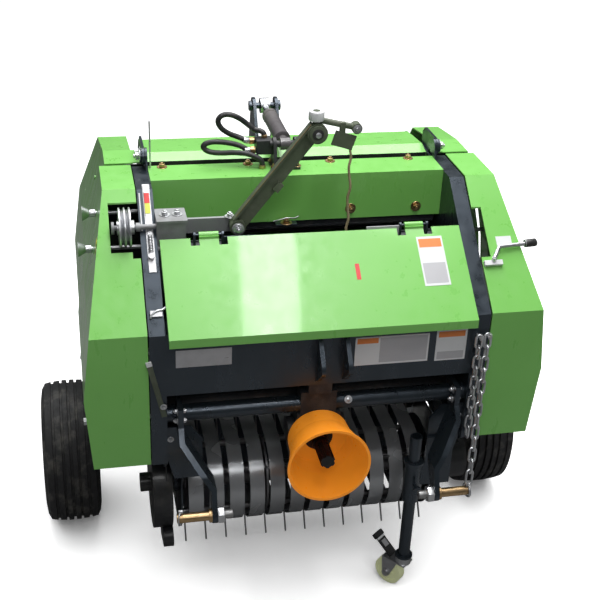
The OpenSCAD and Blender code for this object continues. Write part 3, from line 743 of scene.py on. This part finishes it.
PANEL_HOOK = [(-384, 30, 833), (-380, 34, 841), (-370, 38, 847), (-358, 40, 848), (-350, 44, 851)]
rod_wire("panel_hook", PANEL_HOOK, 2.4, zinc, "frame")

# Crank: grip and bracket

drum("crank_grip", (503.5, 122, 921), (532.9, 124, 922), 9.6, black_plastic, "frame", 32, 0.003)
on_slope("crank_bracket", 395.6, 440.4, 117.6, 130.4, 2.4, 11.8, label_white, 0.001)

# Linch pin in the left link pin, and a ring on each side

LINK_PIN_Y, LINK_PIN_Z = -110, 392
RING_X, RING_LEAN, RING_WIDE, RING_HIGH = 341, 4, 16, 17
drum("linch_pin", (-339, LINK_PIN_Y, 374), (-339, LINK_PIN_Y, 410), 2.4, zinc, "frame", 16)
drum("linch_head", (-334, LINK_PIN_Y, 411), (-344, LINK_PIN_Y, 411), 4.6, zinc, "frame", 20)
for side, word in SIDES:
    ring = []
    for k in range(18):
        angle = math.radians(20 * k)
        ring.append((side * (RING_X + RING_LEAN * math.sin(angle)), LINK_PIN_Y - RING_WIDE * math.sin(angle),
                     LINK_PIN_Z + 1 + RING_HIGH * math.cos(angle)))
    rod_wire("linch_ring_" + word, ring, 1.5, zinc, "frame")

# Twine arm: its head, its outer end and the worn edge along it

ARM_LEAN = math.radians(37.6)
ARM_PIVOT_X, ARM_PIVOT_Z = -170, 965
HEAD_ACROSS, HEAD_ALONG = 4, 281
WORN_ACROSS, WORN_FACE = -20.2, 192.4


def on_arm(x, y, z):
    """A place in the arm's own lines, z along the arm, brought to the machine's."""
    return (ARM_PIVOT_X + x * math.cos(ARM_LEAN) + z * math.sin(ARM_LEAN), y,
            ARM_PIVOT_Z - x * math.sin(ARM_LEAN) + z * math.cos(ARM_LEAN))


def head_disc(name, back, front, radius, finish, sides):
    """A disc of the arm's head, between two distances from the front panel."""
    start, end = on_arm(HEAD_ACROSS, back, HEAD_ALONG), on_arm(HEAD_ACROSS, front, HEAD_ALONG)
    return drum(name, start, end, radius, finish, "arm", sides)


head_disc("head_cover", 183.9, 180.6, 19.5, arm_paint, 40)
head_disc("head_ring", 180.6, 179.4, 13.0, black_plastic, 36)
head_disc("head_nut", 179.4, 174.5, 7.0, zinc, 6)
drum("head_cap", (2.8, 200, 1212.9), (2.8, 200, 1234.6), 17.6, label_white, "arm", 36, 0.002)
drum("end_disc", (96, 191.8, 1192), (96, 190.4, 1192), 10.0, cast_grey, "arm")
drum("end_nut", (96, 190.4, 1192), (96, 187.2, 1192), 5.0, zinc, "arm", 6)
worn = [on_arm(WORN_ACROSS, WORN_FACE, along) for along in (20, 110, 200, 288)]
rod_wire("arm_edge", worn, 0.9, worn_edge, "arm")

# Nuts and thread ends of the link pins, over their gold plating

NUT_INNER, NUT_OUTER, THREAD_END = 240.4, 255.9, 220.6


def on_link_pin(name, side, start, end, radius, finish, sides, edge):
    """A round or six-sided piece along a link pin, between two distances from the middle."""
    return drum(name, (side * start, LINK_PIN_Y, LINK_PIN_Z), (side * end, LINK_PIN_Y, LINK_PIN_Z), radius,
                finish, "frame", sides, edge)


for side, word in SIDES:
    on_link_pin("link_nut_" + word, side, NUT_INNER, NUT_OUTER, 20.2, zinc, 6, 0.0015)
    on_link_pin("link_thread_" + word, side, THREAD_END, NUT_INNER, 10.3, thread_steel, 32, 0.0008)

# Dark sheet behind the stripper bands: painted shade that darkens the gaps between the bands

block("guide_shade_sheet", (-312, 345, 196), (312, 346.5, 386), frame_paint, "frame", 0.0004)

# Black strip in the gap between the beam and the tailgate: painted shade for the shadowed gap

block("gap_shade_strip", (-354, 453.4, 1011.5), (354, 454.8, 1031), black_paint, "tailgate", 0.0002)

# Blank plate on the right cover's slope by the crank

COVER_SLOPE = math.degrees(math.atan2(231, 272))
block("cover_plate", (438, 165, 807.15), (476, 192, 807.6), label_white, "frame", 0.0001,
      ("X", COVER_SLOPE), (0, 0, 807))


def dark_plate(name, side, reach, depth, height, body):
    """A thin dark plate on one side: reach counts from the middle, depth from the front panel."""
    x0, x1 = sorted(side * x for x in reach)
    return block(name, (x0, depth[0], height[0]), (x1, depth[1], height[1]), black_paint, body, 0.0003)


# Dark plates that close the frames' outer sides behind the covers, each narrower than the one below it; their
# near-black is painted shade for the shadowed gaps behind the covers

FRAME_SIDE, TAILGATE_SIDE = 360.2, 367.2
CLOSING_DEPTH = (411, 413)
for side, word in SIDES:
    dark_plate("closing_shade_plate_low_" + word, side, (FRAME_SIDE, 504), CLOSING_DEPTH, (525, 800), "frame")
    dark_plate("closing_shade_plate_high_" + word, side, (FRAME_SIDE, 461), CLOSING_DEPTH, (799, 1026), "frame")
for side, word in SIDES:
    dark_plate("closing_shade_plate_top_" + word, side, (FRAME_SIDE, 393), CLOSING_DEPTH, (1025, 1034.5), "frame")
for side, word in SIDES:
    dark_plate("tailgate_closing_shade_plate_" + word, side, (TAILGATE_SIDE, 450), (432, 434), (900, 1034.5),
               "tailgate")

# Side sheets between the frames' lower edges and the pickup

for side, word in SIDES:
    dark_plate("side_sheet_" + word, side, (350.5, 352.5), (95, 340), (285, 404.6), "frame")

# Pieces modelled at the frame's origin and then set on a turned part of the machine

FROM_ORIGIN = Matrix.Translation((0.0, -FRONT, 0.0))


def set_on(piece, place):
    piece.data.transform(place @ FROM_ORIGIN)


# Stripe and blank patch on the caster's brake lever, which is turned with the fork and tilted

FORK_PLACE = Matrix.Translation(at(245, 8, 0)) @ turned(-50, "Z")
BRAKE_PLACE = FORK_PLACE @ Matrix.Translation((-0.034, 0.0, 0.0863)) @ turned(38, "Y")
for name, low, high, finish in (("brake_stripe", (-55.8, -13.4, -0.3), (-50.5, 13.4, 6.4), label_white),
                                ("brake_patch", (-45, -8, 5.8), (-26, 8, 6.4), label_silver)):
    set_on(block(name, low, high, finish, "caster", 0.0001), BRAKE_PLACE)

# Yellow plate on the left cover's side, which leans in towards its top and its back

COVER_SIDE_PLACE = Matrix.Translation(at(-491.3, 196, 926)) @ turned(-3.3, "Z") @ turned(8.9, "Y")
set_on(block("side_plate", (-0.5, -22, -26), (0.5, 22, 26), signal_yellow, "frame", 0.0001), COVER_SIDE_PLACE)

bpy.context.scene.view_settings.view_transform = "Standard"
